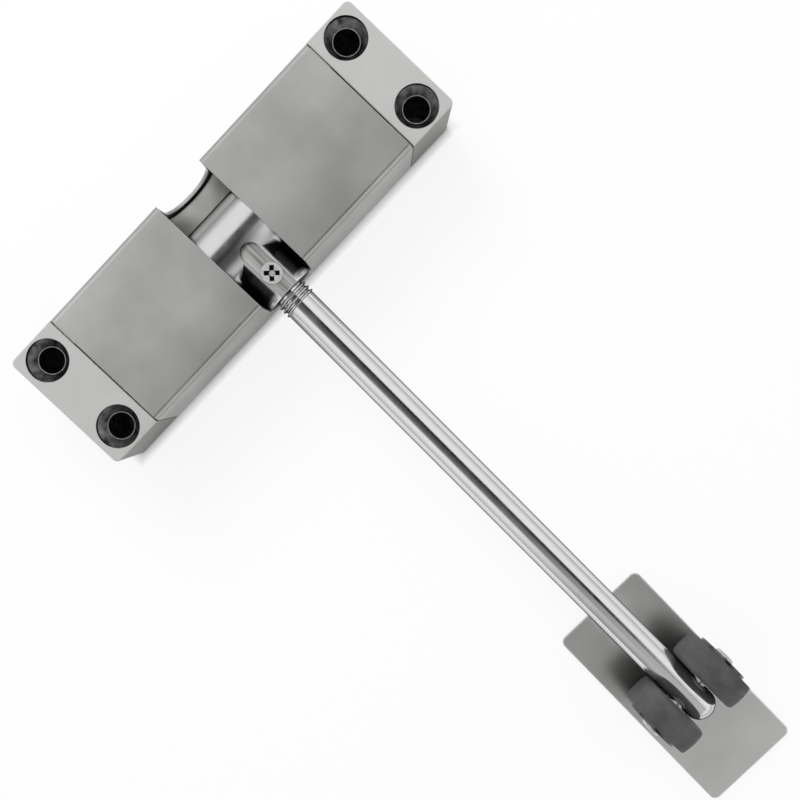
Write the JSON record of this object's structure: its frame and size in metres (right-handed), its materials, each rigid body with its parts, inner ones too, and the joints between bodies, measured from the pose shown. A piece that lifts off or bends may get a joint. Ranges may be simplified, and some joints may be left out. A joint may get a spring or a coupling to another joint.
{
  "type": "spring door closer",
  "caption": "Surface-mounted spring door closer: a sprung hub in a cast housing with a folded cover swings a chromed arm whose nylon rollers run on a flat wear plate.",
  "frame": {"origin": "centre of the housing's mounting face, in the plane of the surface that the housing and the wear plate are fixed to", "axes": "+X along the housing and the hub's axis, -Y along the arm at rest, +Z out of the mounting face"},
  "size_m": [0.14, 0.2498, 0.0306],
  "materials": {
    "satin_casting": "satin nickel plated zinc",
    "satin_sheet": "satin stainless sheet",
    "chrome": "polished",
    "spring_steel": "oiled",
    "plain_steel": "zinc plated",
    "bronze": "sintered",
    "nylon": "matte",
    "foam_tape": "matte"
  },
  "bodies": {
    "housing": {"housing_casting": "satin_casting", "cover_shell": "satin_sheet", "axle_shaft": "plain_steel", "axle_lock_screws": "plain_steel", "spring_left": "spring_steel", "spring_right": "spring_steel", "collar_left": "plain_steel", "collar_right": "plain_steel", "collar_set_screws": "spring_steel", "wear_plate": "satin_sheet", "adhesive_pad": "foam_tape"},
    "arm": {"arm_hub": "chrome", "hub_bush_left": "bronze", "hub_bush_right": "bronze", "arm_rod": "chrome", "arm_set_screw": "plain_steel", "roller_axle": "plain_steel", "roller_bush_left": "plain_steel", "roller_bush_right": "plain_steel", "outer_washer_left": "plain_steel", "outer_washer_right": "plain_steel"},
    "left_roller": {"roller_left": "nylon"},
    "right_roller": {"roller_right": "nylon"}
  },
  "joints": [
    {"name": "arm_swing", "type": "hinge", "parent": "housing", "child": "arm", "pos_m": [0, 0, 0.0191], "axis": [-1, 0, 0], "range_deg": [0, 180], "stiffness_Nm_per_rad": 1.2, "springref_deg": -45.84, "deforming": ["spring_left", "spring_right"]},
    {"name": "left_roller_spin", "type": "hinge", "parent": "arm", "child": "left_roller", "pos_m": [-0.01509, -0.19138, 0.01421], "axis": [0.9996, -0.0288, -0.0007], "continuous": true},
    {"name": "right_roller_spin", "type": "hinge", "parent": "arm", "child": "right_roller", "pos_m": [0.00405, -0.19193, 0.01419], "axis": [0.9996, -0.0288, -0.0007], "continuous": true}
  ]
}
